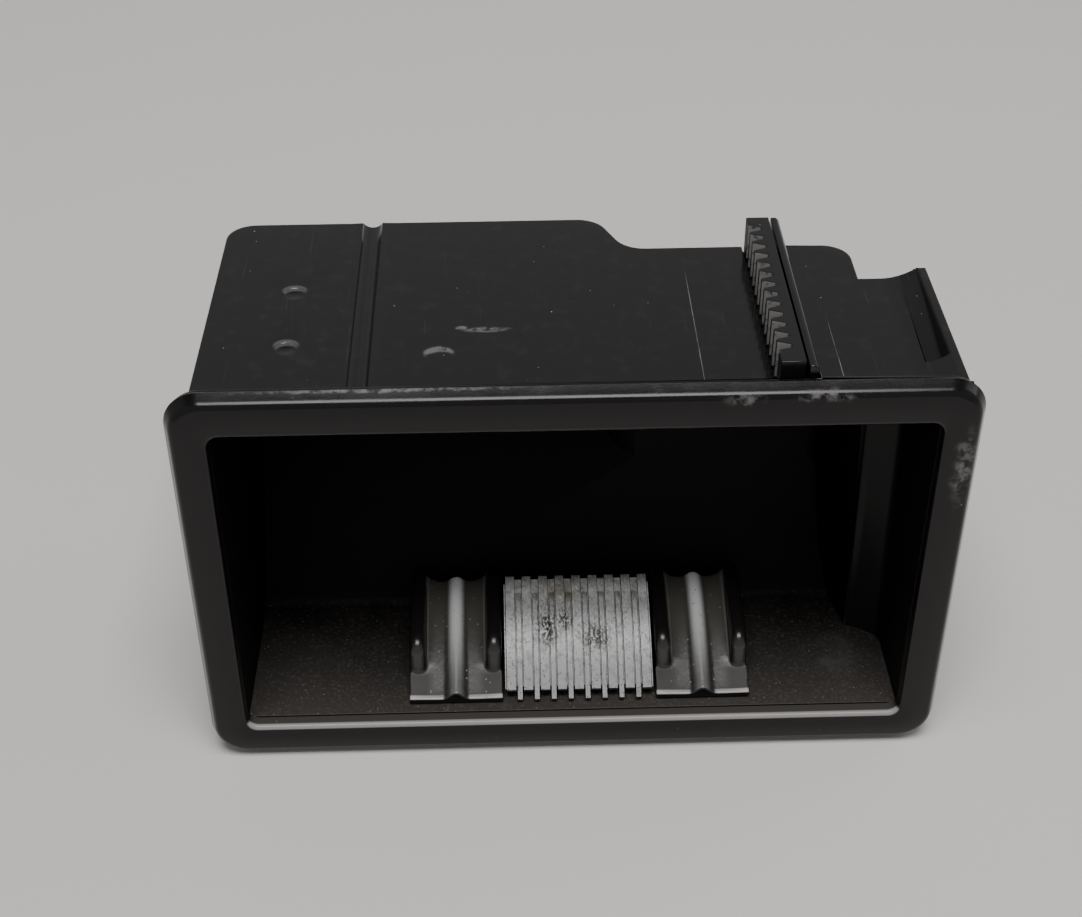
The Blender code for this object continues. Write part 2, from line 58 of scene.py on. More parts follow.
# %% [markdown]
# ## Landmarks
#
# Every place below is worked out from the plain model's nodes, so nothing has to be fitted by eye. A
# node's box gives its lowest and highest corner. Depths are counted from the front face, as a maker
# would, so a small helper turns (across, depth, height) in millimetres into a point, and the three axes
# get the same three names.

# %% Read the landmarks
BEZEL_LOW, BEZEL_HIGH = (Vector(corner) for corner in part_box("bezel_frame"))
COMB_LOW, COMB_HIGH = (Vector(corner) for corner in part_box("snuffer_comb"))
REST_BOXES = {name: [Vector(corner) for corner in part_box(name)] for name in ("rest_left", "rest_right")}
FRONT_Y = BEZEL_LOW.y


def at(across, depth, height):
    """Point from millimetres: across from the middle, depth from the front face, height from the foot."""
    return Vector((across * MM, FRONT_Y + depth * MM, height * MM))


ACROSS, DEEP, HIGH = 0, 1, 2
FLOOR_Z = REST_BOXES["rest_left"][0].z

print("front frame", [round(side / MM, 1) for side in BEZEL_HIGH - BEZEL_LOW], "mm")

# %% [markdown]
# ## The camera
#
# The receiver is seen from above its open front, as somebody sees it who has just pulled it out and put
# it on the table. A long lens keeps its edges nearly parallel. The camera is placed by a point it stands
# on, a point it looks at, and a slight roll.

# %% Camera
CAMERA_PLACE = Vector((-11.2, -254.8, 232.3)) * MM
CAMERA_AIM = Vector((-5.7, -31.45, 65.6)) * MM
CAMERA_ROLL = math.radians(-0.32)
CAMERA_LENS = 58.4
SENSOR_WIDTH = 36.0
NEAREST = 10.0 * MM

camera_data = bpy.data.cameras.new("table_view")
camera_data.lens = CAMERA_LENS
camera_data.sensor_width = SENSOR_WIDTH
camera_data.clip_start = NEAREST
camera = bpy.data.objects.new("table_view", camera_data)
bpy.context.scene.collection.objects.link(camera)
turn = (CAMERA_AIM - CAMERA_PLACE).to_track_quat("-Z", "Y").to_matrix().to_4x4()
camera.matrix_world = Matrix.Translation(CAMERA_PLACE) @ turn @ Matrix.Rotation(CAMERA_ROLL, 4, "Z")
bpy.context.scene.camera = camera
print("camera stands", round((CAMERA_AIM - CAMERA_PLACE).length / MM), "mm from the front frame")

# %% [markdown]
# ## Floor and light
#
# Black gloss plastic shows almost nothing of its own colour: what we see is what it mirrors. So the
# lights are large and soft, and each one is put where some edge or some wall mirrors it. The ceiling
# lamp draws the bright line on the frame's top edge and the spots on the finger noses, and it lights
# the snuffer and the beads. The fill stands to the side, where the top plate doesn't mirror it. The
# studio's walls are pale and its roof is dark, so flat faces look grey and rounded ones turn black.
#
# The part lies on the lower edge of its frame and on the foot of its back wall, so the table top is
# tilted a little to touch both.

# %% Floor and light
def simple_material(name, colour, roughness):
    """A plain surface for the studio, not for the part."""
    material = bpy.data.materials.new(name)
    material.use_nodes = True
    shader = material.node_tree.nodes["Principled BSDF"]
    shader.inputs["Base Color"].default_value = (*colour, 1.0)
    shader.inputs["Roughness"].default_value = roughness
    return material


FLOOR_TILT = math.radians(8.0)
FLOOR_SIZE = 3.0
FLOOR_DROP = 0.3 * MM
bpy.ops.mesh.primitive_plane_add(size=FLOOR_SIZE, location=(0.0, BEZEL_HIGH.y, -FLOOR_DROP))
floor = bpy.context.object
floor.name = "table_top"
floor.rotation_euler.x = FLOOR_TILT
floor.data.materials.append(simple_material("table_top_paint", (0.72, 0.70, 0.68), 0.6))


def area_light(name, place, aim, width, height, watts):
    """A rectangular soft light, aimed at a point."""
    data = bpy.data.lights.new(name, "AREA")
    data.shape = "RECTANGLE"
    data.size = width
    data.size_y = height
    data.energy = watts
    light = bpy.data.objects.new(name, data)
    bpy.context.scene.collection.objects.link(light)
    aim_turn = (Vector(aim) - Vector(place)).to_track_quat("-Z", "Y").to_matrix().to_4x4()
    light.matrix_world = Matrix.Translation(place) @ aim_turn
    return light


area_light("ceiling_lamp", (0.0, -0.30, 0.98), aim=(0.0, -0.02, 0.04), width=0.62, height=0.42, watts=9.0)
area_light("side_fill", (1.3, 0.5, 0.7), aim=(0.0, 0.0, 0.03), width=0.8, height=0.8, watts=3.0)

WALL_LIGHT, ROOF_LIGHT = 0.40, 0.06
# The upward part of a direction at which the wall starts to fade, and at which the roof begins.
WALL_TOP, ROOF_EDGE = 0.60, 0.82
world = bpy.data.worlds.new("studio")
world.use_nodes = True
background = world.node_tree.nodes["Background"]
background.inputs["Color"].default_value = (0.82, 0.82, 0.84, 1.0)
upwards = world.node_tree.nodes.new("ShaderNodeSeparateXYZ")
fade = world.node_tree.nodes.new("ShaderNodeMapRange")
fade.interpolation_type = "SMOOTHSTEP"
fade.inputs["From Min"].default_value = WALL_TOP
fade.inputs["From Max"].default_value = ROOF_EDGE
fade.inputs["To Min"].default_value = WALL_LIGHT
fade.inputs["To Max"].default_value = ROOF_LIGHT
sky_place = world.node_tree.nodes.new("ShaderNodeTexCoord")
world.node_tree.links.new(sky_place.outputs["Generated"], upwards.inputs[0])
world.node_tree.links.new(upwards.outputs[HIGH], fade.inputs["Value"])
world.node_tree.links.new(fade.outputs["Result"], background.inputs["Strength"])
bpy.context.scene.world = world
print("table top tilted by", round(math.degrees(FLOOR_TILT)), "degrees")

# %% [markdown]
# ## A finish in layers
#
# A used plastic or steel surface is a base with films on it: dust, soot, worn spots. We could paint each
# material by hand, node by node, but the steps repeat. So one small class holds the Principled shader
# and lays one film after another over it, each with a mask that says where it lies. The pieces stand
# where the plain model stands, so object coordinates are real metres, and a mask can be placed with the
# same ruler as a piece: every place and width below is in millimetres, as in at().

# %% Finish: a base and its films
GRAIN = 0.62
TEAR_SCALE = 420.0
TEAR_DETAIL = 4.0


class Finish:
    """A Principled shader whose colour and roughness are built up film by film."""

    def __init__(self, name, colour, roughness, metallic=0.0, mirror=0.5):
        self.material = bpy.data.materials.new(name)
        self.material.use_nodes = True
        self.tree = self.material.node_tree
        self.shader = self.tree.nodes["Principled BSDF"]
        self.shader.inputs["Metallic"].default_value = metallic
        self.shader.inputs["Specular IOR Level"].default_value = mirror
        self.place = self.node("ShaderNodeTexCoord").outputs["Object"]
        self.direction = self.node("ShaderNodeSeparateXYZ")
        self.tree.links.new(self.node("ShaderNodeNewGeometry").outputs["Normal"], self.direction.inputs[0])
        self.colour = (*colour, 1.0)
        self.roughness = roughness
        self.bumps = []

    def node(self, kind, **settings):
        """Add a node and set its options."""
        made = self.tree.nodes.new(kind)
        for key, value in settings.items():
            setattr(made, key, value)
        return made

    def feed(self, socket, value):
        """Link a socket, or set it when the value is a plain number or colour."""
        if isinstance(value, bpy.types.NodeSocket):
            self.tree.links.new(value, socket)
        else:
            socket.default_value = value

    def ramp(self, value, low, high):
        """Stretch a value smoothly so that low becomes 0 and high becomes 1, and clamp it."""
        ramp = self.node("ShaderNodeMapRange", interpolation_type="SMOOTHSTEP")
        self.feed(ramp.inputs["Value"], value)
        ramp.inputs["From Min"].default_value = low
        ramp.inputs["From Max"].default_value = high
        return ramp.outputs["Result"]

    def math(self, operation, first, second):
        """One sum on two values."""
        step = self.node("ShaderNodeMath", operation=operation)
        self.feed(step.inputs[0], first)
        self.feed(step.inputs[1], second)
        return step.outputs[0]

    def vector(self, operation, first, second):
        """One sum on two vectors."""
        step = self.node("ShaderNodeVectorMath", operation=operation)
        self.feed(step.inputs[0], first)
        self.feed(step.inputs[1], second)
        return step.outputs[0]

    def cloud(self, scale, low, high, stretch=(1.0, 1.0, 1.0), detail=5.0):
        """Blotchy mask. The scale is in features a metre, and a small stretch makes long features."""
        noise = self.node("ShaderNodeTexNoise")
        self.feed(noise.inputs["Vector"], self.vector("MULTIPLY", self.place, stretch))
        noise.inputs["Scale"].default_value = scale
        noise.inputs["Detail"].default_value = detail
        noise.inputs["Roughness"].default_value = GRAIN
        return self.ramp(noise.outputs["Fac"], low, high)

    def specks(self, scale, radius, share):
        """Tiny round grains. The share is the part of the cells that hold one."""
        cells = self.node("ShaderNodeTexVoronoi")
        self.feed(cells.inputs["Vector"], self.place)
        cells.inputs["Scale"].default_value = scale
        dot = self.ramp(cells.outputs["Distance"], radius, radius * 0.6)
        pick = self.node("ShaderNodeSeparateColor")
        self.feed(pick.inputs[0], cells.outputs["Color"])
        return self.math("MULTIPLY", dot, self.math("LESS_THAN", pick.outputs[0], share))

    def spot(self, centre, reach, ragged=0.0, edge=0.0):
        """1 at a place, 0 past its reach in millimetres along each axis. Ragged tears its outline."""
        place = self.place
        if ragged > 0.0:
            noise = self.node("ShaderNodeTexNoise")
            self.feed(noise.inputs["Vector"], self.place)
            noise.inputs["Scale"].default_value = TEAR_SCALE
            noise.inputs["Detail"].default_value = TEAR_DETAIL
            shake = self.vector("SUBTRACT", noise.outputs["Color"], (0.5, 0.5, 0.5))
            place = self.vector("ADD", place, self.vector("MULTIPLY", shake, (ragged * MM,) * 3))
        away = self.vector("SUBTRACT", place, tuple(centre))
        length = self.node("ShaderNodeVectorMath", operation="LENGTH")
        self.feed(length.inputs[0], self.vector("DIVIDE", away, tuple(value * MM for value in reach)))
        return self.ramp(length.outputs["Value"], 1.0, edge)

    def band(self, axis, centre, half, edge):
        """1 in a strip that runs square to an axis, from its centre to half its width on either side."""
        middle = at(centre, centre, centre)[axis]
        away = self.math("ABSOLUTE", self.math("SUBTRACT", self.measure(axis), middle), 0.0)
        return self.ramp(away, (half + edge) * MM, (half - edge) * MM)

    def measure(self, axis):
        """How far a point lies along an axis, in metres."""
        split = self.node("ShaderNodeSeparateXYZ")
        self.feed(split.inputs[0], self.place)
        return split.outputs[axis]

    def facing(self, axis, low, high):
        """1 where the surface looks along an axis. Negative values look the other way."""
        return self.ramp(self.direction.outputs[axis], low, high)

    def along(self, axis, low, high):
        """0 to 1 between two places on an axis."""
        return self.ramp(self.measure(axis), at(low, low, low)[axis], at(high, high, high)[axis])

    def both(self, *masks):
        """Where all the masks are."""
        result = masks[0]
        for mask in masks[1:]:
            result = self.math("MULTIPLY", result, mask)
        return result

    def either(self, *masks):
        """Where any of the masks is."""
        result = masks[0]
        for mask in masks[1:]:
            result = self.math("MAXIMUM", result, mask)
        return result

    def apart(self, mask):
        """Where a mask isn't."""
        return self.math("SUBTRACT", 1.0, mask)

    def cover(self, mask, colour=None, roughness=None, share=None):
        """Lay a film over what is there. The share is how much of it the film hides."""
        if share is not None:
            mask = self.math("MULTIPLY", mask, share)
        if colour is not None:
            mix = self.node("ShaderNodeMix", data_type="RGBA")
            self.feed(mix.inputs[0], mask)
            self.feed(mix.inputs[6], self.colour)
            mix.inputs[7].default_value = (*colour, 1.0)
            self.colour = mix.outputs[2]
        if roughness is not None:
            mix = self.node("ShaderNodeMix", data_type="FLOAT")
            self.feed(mix.inputs[0], mask)
            self.feed(mix.inputs[2], self.roughness)
            mix.inputs[3].default_value = roughness
            self.roughness = mix.outputs[0]

    def bump(self, height, size):
        """Raise the surface by a mask, or sink it when the size is negative."""
        self.bumps.append((height, size))

    def done(self):
        """Link the layers to the shader."""
        self.feed(self.shader.inputs["Base Color"], self.colour)
        self.feed(self.shader.inputs["Roughness"], self.roughness)
        normal = None
        for height, size in self.bumps:
            bump = self.node("ShaderNodeBump")
            bump.inputs["Distance"].default_value = size * MM
            self.feed(bump.inputs["Height"], height)
            if normal is not None:
                self.feed(bump.inputs["Normal"], normal)
            normal = bump.outputs["Normal"]
        if normal is not None:
            self.feed(self.shader.inputs["Normal"], normal)
        return self.material


# %% [markdown]
# ## The plastic of the tub
#
# The tub comes out of a polished mould, so its outside mirrors like lacquer, only blurred by a very
# slight waviness. It is used: two long scratches run along the top plate where the housing wore it, and dust
# grains lie on it. Two thin smeared dents and the two shallow dishes left by the mould's pins get pale
# crescents on their upper rims: these are painted highlights.

# %% Finish of the tub's outside
PIN_MARKS = ((-47.3, 21.0), (-47.3, 38.4))
FAR_RIM = 0.9
TOP_HEIGHT = 73.7
GROOVE_MIDDLE = -34.9


def crescent(finish, across, depth, wide, deep, lean):
    """Pale sickle at a place on the top plate, open towards the front: a painted highlight on a dent's upper
    rim.
    """
    whole = finish.spot(at(across, depth, TOP_HEIGHT), (wide, deep, 1.0), 0.5, 0.75)
    cut = finish.spot(at(across - lean, depth - deep * 0.62, TOP_HEIGHT), (wide * 1.05, deep, 1.0), 0.5, 0.7)
    return finish.both(whole, finish.apart(cut))


def outside_finish():
    """Gloss black moulded plastic, dusty, scratched and smeared."""
    finish = Finish("gloss_tub_plastic", (0.0060, 0.0052, 0.0052), 0.13)
    finish.cover(finish.cloud(55.0, 0.45, 0.75), roughness=0.22)
    upward = finish.facing(HIGH, 0.60, 0.95)
    haze = finish.both(upward, finish.cloud(300.0, 0.50, 0.80))
    finish.cover(haze, (0.040, 0.037, 0.035), 0.42, share=0.25)
    finish.cover(finish.both(upward, finish.band(ACROSS, GROOVE_MIDDLE, 2.0, 0.4)), roughness=0.30)
    # Painted shade: the deep slot beside the rail is painted near black.
    rail_slot_shade = finish.both(
        finish.band(ACROSS, 59.6, 1.6, 0.25),
        finish.along(DEEP, 12.6, 13.1),
        finish.along(HIGH, 68.0, 68.5),
    )
    finish.cover(rail_slot_shade, (0.0010, 0.0010, 0.0010), 0.80)
    scratches = finish.either(
        finish.spot(at(20.9, 25.0, TOP_HEIGHT), (0.10, 26.0, 1.0), 0.10, 0.3),
        finish.spot(at(43.4, 16.0, TOP_HEIGHT), (0.09, 16.0, 1.0), 0.22, 0.3),
    )
    broken = finish.cloud(900.0, 0.34, 0.56, (1.0, 0.12, 1.0))
    finish.cover(finish.both(scratches, broken), (0.22, 0.205, 0.195), 0.55)
    hairlines = finish.both(upward, finish.cloud(2600.0, 0.70, 0.74, (1.0, 0.02, 1.0), 2.0))
    finish.cover(hairlines, (0.10, 0.095, 0.09), 0.40, share=0.16)
    dust = finish.either(finish.specks(520.0, 0.055, 0.10), finish.specks(300.0, 0.045, 0.12))
    finish.cover(dust, (0.36, 0.34, 0.32), 0.8)
    torn = finish.cloud(700.0, 0.30, 0.55)
    # Painted highlights: pale crescents on the upper rims of the two pin dishes and of the smeared dents.
    pin_dish_highlights = [crescent(finish, across, depth + FAR_RIM, 2.4, 1.9, -0.3) for across, depth in PIN_MARKS]
    dent_highlights = finish.both(
        finish.either(
            crescent(finish, -22.0, 18.6, 2.8, 2.3, -0.4),
            finish.spot(at(-14.2, 25.6, TOP_HEIGHT), (4.9, 1.0, 1.0), 1.2, 0.4),
            finish.spot(at(-18.3, 26.3, TOP_HEIGHT), (1.2, 0.8, 1.0), 0.8, 0.5),
        ),
        torn,
    )
    # Lay the painted highlights of the dishes and of the dents.
    finish.cover(finish.either(*pin_dish_highlights), (0.105, 0.100, 0.098), 0.35, share=0.75)
    finish.cover(dent_highlights, (0.175, 0.165, 0.160), 0.35, share=0.80)
    finish.bump(finish.cloud(110.0, 0.0, 1.0, detail=1.0), 0.012)
    for across, depth in PIN_MARKS:
        finish.bump(finish.spot(at(across, depth, TOP_HEIGHT), (2.3, 2.0, 1.0), 0.4, 0.2), -0.16)
    return finish.done()


# %% [markdown]
# Inside, soot and ash have dulled the gloss. The inside plastic is also a darker copy of the outside one,
# with a lower specular level, because a Principled shader still mirrors a little at any roughness: this is
# painted shade, and it turns the deep part of the receiver black. The floor carries an even film of ash, and
# a paler film towards the front, which also paints the light that reaches the floor in front of the top
# plate's shadow.

# %% Finish of the tub's inside
def inside_finish():
    """Sooted plastic darkened further as painted shade, with ash on what faces up."""
    # Painted shade: a darker base and a low specular level make the inside a shaded copy of the plastic.
    finish = Finish("shaded_tub_plastic", (0.0032, 0.0028, 0.0026), 0.50, mirror=0.16)
    paler_front_floor = finish.along(DEEP, 34.0, 2.0)
    upward = finish.both(finish.facing(HIGH, 0.60, 0.95), finish.along(HIGH, 9.0, 8.0))
    ash = finish.both(upward, finish.cloud(90.0, 0.10, 0.80))
    finish.cover(ash, (0.030, 0.027, 0.025), 0.45, share=0.85)
    # Ash, and painted light: the floor is paler towards the front, up to the top plate's shadow line.
    finish.cover(finish.both(upward, paler_front_floor), (0.062, 0.056, 0.051), 0.40, share=0.60)
    fine_ash = finish.both(upward, finish.cloud(1500.0, 0.48, 0.70, detail=3.0))
    finish.cover(fine_ash, (0.095, 0.086, 0.078), 0.60, share=0.42)
    grains = finish.both(upward, finish.specks(1500.0, 0.22, 0.10))
    finish.cover(grains, (0.20, 0.185, 0.165), 0.8)
    residue = finish.both(
        finish.either(
            finish.spot(at(49.6, 15.5, 7.0), (5.0, 7.0, 3.0), 5.0, 0.6),
            finish.spot(at(47.2, 36.0, 57.0), (2.5, 7.0, 9.0), 4.0, 0.6),
        ),
        finish.cloud(260.0, 0.30, 0.75),
    )
    finish.cover(residue, (0.085, 0.080, 0.074), 0.30, share=0.60)
    # Painted light: the front-facing wall of the shelf is made paler where the light falls on it.
    lit_shelf_wall = finish.both(finish.along(ACROSS, 50.6, 51.2), finish.facing(DEEP, -0.55, -0.85))
    finish.cover(lit_shelf_wall, (0.0120, 0.0105, 0.0100), 0.30)
    finish.bump(finish.cloud(110.0, 0.0, 1.0, detail=1.0), 0.012)
    return finish.done()


TUB_PLASTIC = outside_finish()
TUB_SHADED_INSIDE = inside_finish()

# %% [markdown]
# ## Rounding the tub's edges
#
# The plain tub has knife edges, which no moulding has: a real edge has a small radius, and that radius
# is what draws a fine light line round a black part. We could put a Bevel modifier on the tub, but its
# cut faces have many short edges, and the modifier would then shrink every radius to the shortest one.
# So we take a copy of the mesh, merge its flat faces and cut them afresh, pick only the sharp edges that
# are long enough, and round those in bmesh. A Weighted Normal modifier keeps the large faces flat.
#
# A long thin triangle that starts at a rounded corner shows as a dark crease across the whole wall. The
# guide groove ends in such a corner, so its own edges stay sharp and three cuts round it keep the
# triangles there short. At the end the faces that bound the room get the darker inside plastic, its painted
# shade.

# %% Softened copy of a plain node
WELD = 0.01 * MM
ON_PLANE = WELD / 10
FLAT_ANGLE = math.radians(0.6)
EDGE_ANGLE = math.radians(38.0)
SHARP_ANGLE = math.radians(50.0)
FLAT_WEIGHT = 80
GROOVE_X = at(GROOVE_MIDDLE, 0.0, 0.0).x
GROOVE_REACH = 2.4 * MM


def softened_mesh(node, radius, shortest, cuts=()):
    """Copy a node's mesh, cut its large faces, and round its sharp edges with a radius in metres."""
    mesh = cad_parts[node].data.copy()
    work = bmesh.new()
    work.from_mesh(mesh)
    bmesh.ops.remove_doubles(work, verts=work.verts, dist=WELD)
    bmesh.ops.dissolve_limit(work, angle_limit=FLAT_ANGLE, verts=work.verts, edges=work.edges)
    for point, normal in cuts:
        everything = work.verts[:] + work.edges[:] + work.faces[:]
        bmesh.ops.bisect_plane(work, geom=everything, dist=ON_PLANE, plane_co=point, plane_no=normal)
    bmesh.ops.triangulate(work, faces=work.faces)
    chosen = []
    for edge in work.edges:
        near_groove = all(abs(vert.co.x - GROOVE_X) < GROOVE_REACH for vert in edge.verts)
        if near_groove or edge.calc_length() <= shortest:
            continue
        if edge.calc_face_angle(0.0) > EDGE_ANGLE:
            chosen.append(edge)
    bmesh.ops.bevel(
        work, geom=chosen, offset=radius, segments=2, profile=0.5, affect="EDGES", clamp_overlap=False
    )
    bmesh.ops.recalc_face_normals(work, faces=work.faces)
    work.to_mesh(mesh)
    work.free()
    print(node, "rounded along", len(chosen), "edges")
    return mesh


def make_piece(name, mesh, material, node, smooth_angle):
    """Put a mesh in the scene as the piece that stands for one node of the plain model."""
    mesh.name = name
    piece = bpy.data.objects.new(name, mesh)
    bpy.context.scene.collection.objects.link(piece)
    mesh.materials.clear()
    mesh.materials.append(material)
    for polygon in mesh.polygons:
        polygon.material_index = 0
    mesh.shade_smooth()
    mesh.set_sharp_from_angle(angle=smooth_angle)
    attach(piece, BODY)
    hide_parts(node)
    return piece


def keep_faces_flat(piece):
    """Weight the normals by area, so that large faces stay flat next to their rounded edges."""
    weighted = piece.modifiers.new("Flat faces", "WEIGHTED_NORMAL")
    weighted.keep_sharp = True
    weighted.weight = FLAT_WEIGHT


ROOM_LOW, ROOM_HIGH = at(-58.7, -1.0, 5.0), at(58.7, 61.0, 70.8)
FLOOR_TOP = at(0.0, 0.0, 8.0).z


def looks_inside(polygon):
    """Whether a face of the tub bounds its room, by its place and by the way it faces."""
    place, normal = polygon.center, polygon.normal
    within = all(ROOM_LOW[axis] < place[axis] < ROOM_HIGH[axis] for axis in (ACROSS, DEEP, HIGH))
    faces_back = normal.y >= 0.15
    underneath = normal.z < -0.5 and place.z < FLOOR_TOP
    return within and not faces_back and not underneath


TUB_EDGE = 0.28 * MM
TUB_SHORTEST = 0.7 * MM
BELOW_GROOVE = 72.2
BESIDE_GROOVE = 4.0
groove_cuts = [(at(0.0, 0.0, BELOW_GROOVE), (0, 0, 1))]
for side in (-1, 1):
    groove_cuts.append((at(GROOVE_MIDDLE + side * BESIDE_GROOVE, 0.0, 0.0), (1, 0, 0)))
tub_mesh = softened_mesh("tub", TUB_EDGE, TUB_SHORTEST, groove_cuts)
tub = make_piece("tub_moulding", tub_mesh, TUB_PLASTIC, "tub", SHARP_ANGLE)
keep_faces_flat(tub)
tub_mesh.materials.append(TUB_SHADED_INSIDE)
shaded_inside_faces = [polygon for polygon in tub_mesh.polygons if looks_inside(polygon)]
for polygon in shaded_inside_faces:
    polygon.material_index = 1
print("tub has", len(tub_mesh.polygons), "faces,", len(shaded_inside_faces), "of them inside")

# %% [markdown]
# ## The front frame
#
# The frame is what people see in the dashboard. Its face isn't flat: it is slightly crowned, it rolls
# over into a sloping outer side, and it turns into the opening with a lip. A bevelled ring would give
# flat faces and hard light, so the ring is lofted: one profile across the band, carried round the four
# corners. The bands have different widths, so the profile is stretched to each.

# %% Loft the front frame
SIDE_BAND = 6.6 * MM
BOTTOM_BAND = 6.8 * MM
TOP_BAND = 7.4 * MM
OUTER_CORNER = 6.0 * MM
INNER_CORNER = 2.2 * MM
CORNER_STEPS = 14
OUTER_SLOPE = 0.097
OUTER_ROLL = 0.28
INNER_ROLL = 0.15
CROWN = 0.16 * MM
ROLL_DEPTH = 1.20 * MM
LIP_DEPTH = 0.95 * MM
REAR_LIP = 0.25 * MM
REAR_INSET = 0.012
BEZEL_DEPTH = BEZEL_HIGH.y - BEZEL_LOW.y


def band_profile():
    """Profile across the band: (share of the band from its outer edge, depth behind the front face)."""
    steps = 9
    points = [(REAR_INSET, BEZEL_DEPTH), (0.0, BEZEL_DEPTH - REAR_LIP)]
    slope = math.atan2(OUTER_SLOPE * TOP_BAND, BEZEL_DEPTH - REAR_LIP - ROLL_DEPTH)
    for step in range(steps + 1):
        angle = slope + (math.pi / 2 - slope) * step / steps
        turned = (math.cos(slope) - math.cos(angle)) / math.cos(slope)
        share = OUTER_SLOPE + (OUTER_ROLL - OUTER_SLOPE) * turned
        fallen = (1.0 - math.sin(angle)) / (1.0 - math.sin(slope))
        points.append((share, CROWN + (ROLL_DEPTH - CROWN) * fallen))
    for step in range(1, steps):
        share = OUTER_ROLL + (1.0 - OUTER_ROLL - INNER_ROLL) * step / steps
        rise = math.sin(math.pi * (share - OUTER_ROLL) / (1.0 - OUTER_ROLL - INNER_ROLL))
        points.append((share, CROWN * (1.0 - rise)))
    for step in range(steps + 1):
        angle = math.pi / 2 * step / steps
        share = 1.0 - INNER_ROLL * (1.0 - math.sin(angle))
        points.append((share, CROWN + (LIP_DEPTH - CROWN) * (1.0 - math.cos(angle))))
    points.append((1.0, BEZEL_DEPTH))
    return points


def band_outline(share):
    """Rounded rectangle at a share of the band, as (x, z) points."""
    left = BEZEL_LOW.x + SIDE_BAND * share
    right = BEZEL_HIGH.x - SIDE_BAND * share
    low = BEZEL_LOW.z + BOTTOM_BAND * share
    high = BEZEL_HIGH.z - TOP_BAND * share
    radius = OUTER_CORNER + (INNER_CORNER - OUTER_CORNER) * share
    centres = [
        (right - radius, high - radius, 0),
        (left + radius, high - radius, 1),
        (left + radius, low + radius, 2),
        (right - radius, low + radius, 3),
    ]
    points = []
    for x, z, quarter in centres:
        for step in range(CORNER_STEPS + 1):
            angle = math.pi / 2 * (quarter + step / CORNER_STEPS)
            points.append((x + radius * math.cos(angle), z + radius * math.sin(angle)))
    return points


def join_rings(work, rings, endless=False):
    """Join rings of points, all of one length, with faces. An endless row meets itself, others get ends."""
    rows = [[work.verts.new(point) for point in ring] for ring in rings]
    pairs = list(zip(rows, rows[1:]))
    if endless:
        pairs.append((rows[-1], rows[0]))
    for before, after in pairs:
        count = len(before)
        for index in range(count):
            following = (index + 1) % count
            work.faces.new((before[index], before[following], after[following], after[index]))
    if not endless:
        work.faces.new(list(reversed(rows[0])))
        work.faces.new(rows[-1])


def mesh_from(work, name):
    """Turn a bmesh into a mesh with its faces looking out."""
    bmesh.ops.recalc_face_normals(work, faces=work.faces)
    mesh = bpy.data.meshes.new(name)
    work.to_mesh(mesh)
    work.free()
    return mesh


rings = []
for band_share, band_depth in band_profile():
    ring_y = BEZEL_LOW.y + band_depth
    rings.append([Vector((x, ring_y, z)) for x, z in band_outline(band_share)])
work = bmesh.new()
join_rings(work, rings, endless=True)
bezel_mesh = mesh_from(work, "bezel")

# %% [markdown]
# The frame's plastic is satin, not gloss: hands have worn it. Grey rough patches along the top edge and down
# the right band, and a pale line on the lip of the opening, are painted highlights. Ash lies on the sill of
# the opening.

# %% Finish of the front frame
def bezel_finish():
    """Satin black plastic with painted grey highlights on its edges and on its lip."""
    finish = Finish("satin_frame_plastic", (0.0065, 0.0055, 0.0055), 0.17, mirror=0.32)
    finish.cover(finish.cloud(70.0, 0.42, 0.72), roughness=0.24)
    sill = finish.both(finish.facing(HIGH, 0.45, 0.85), finish.along(HIGH, 9.0, 8.0))
    finish.cover(sill, (0.062, 0.056, 0.051), 0.42, share=0.85)
    # Painted highlight: a pale line along the lower lip of the opening.
    lip = finish.both(
        finish.along(HIGH, 5.9, 6.3),
        finish.along(HIGH, 8.0, 7.4),
        finish.along(DEEP, 1.3, 0.9),
        finish.facing(HIGH, 0.20, 0.45),
    )
    finish.cover(lip, (0.36, 0.35, 0.34), 0.28, share=0.85)
    # Painted highlights: grey patches along the top edge and down the right band.
    edge_highlight_places = finish.either(
        finish.spot(at(26.0, 0.6, 76.0), (4.5, 1.8, 1.6), 2.2, 0.1),
        finish.spot(at(39.0, 0.6, 76.2), (7.0, 1.8, 1.4), 2.2, 0.1),
        finish.spot(at(62.3, 0.3, 62.0), (2.6, 2.0, 9.5), 2.6, 0.1),
        finish.spot(at(-30.0, 2.4, 77.6), (30.0, 0.5, 0.7), 1.0, 0.1),
    )
    edge_highlights = finish.both(edge_highlight_places, finish.cloud(620.0, 0.40, 0.62))
    finish.cover(edge_highlights, (0.19, 0.18, 0.175), 0.55, share=0.85)
    haze = finish.cloud(380.0, 0.56, 0.82)
    finish.cover(haze, (0.040, 0.037, 0.035), 0.42, share=0.22)
    finish.cover(finish.specks(430.0, 0.055, 0.10), (0.33, 0.31, 0.29), 0.8)
    finish.bump(finish.cloud(2400.0, 0.2, 0.8, detail=2.0), 0.003)
    return finish.done()


BEZEL_SHARP = math.radians(40.0)
bezel = make_piece(
    "frame_moulding", bezel_mesh, bezel_finish(), "bezel_frame", BEZEL_SHARP
)
print("front frame has", len(bezel.data.polygons), "faces")

# %% [markdown]
# ## The damper rack
#
# A toothed bar on the top plate drives a small damper wheel in the dashboard, so that the receiver
# glides out slowly. Its teeth are already exact in the plain model. They only need their moulded
# radius. The flanks that face the front get a pale painted highlight, and the faces that look left and
# back get a painted shade.

